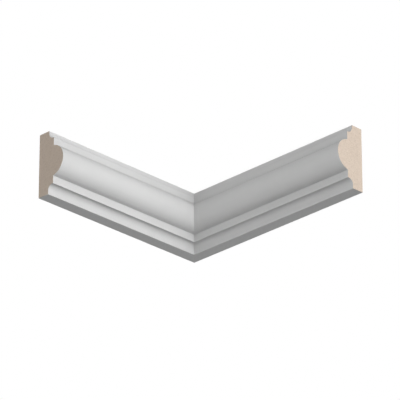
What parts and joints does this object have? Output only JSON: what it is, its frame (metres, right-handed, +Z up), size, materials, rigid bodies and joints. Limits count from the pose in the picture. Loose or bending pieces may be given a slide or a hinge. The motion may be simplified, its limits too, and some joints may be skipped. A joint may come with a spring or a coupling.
{
  "type": "wall moulding",
  "caption": "Inside-corner wall moulding: mitred lengths of white-primed fibreboard with a round bead between flat bands and coves, and bare sawn ends.",
  "frame": {"origin": "under the middle of the whole part, level with its bottom edge", "axes": "+Z up; +X along the right-hand length, from the corner to its sawn end; -Y along the left-hand length, from the corner to its sawn end; the faces look towards -Y and +X, and the backs towards +Y and -X"},
  "size_m": [0.169, 0.156, 0.05],
  "materials": {
    "primed_fibreboard": "matt white primer on the milled faces and both long edges; bare beige fibreboard on the sawn ends and the back"
  },
  "bodies": {
    "root": {"right_length": "primed_fibreboard", "left_length": "primed_fibreboard"}
  },
  "joints": []
}
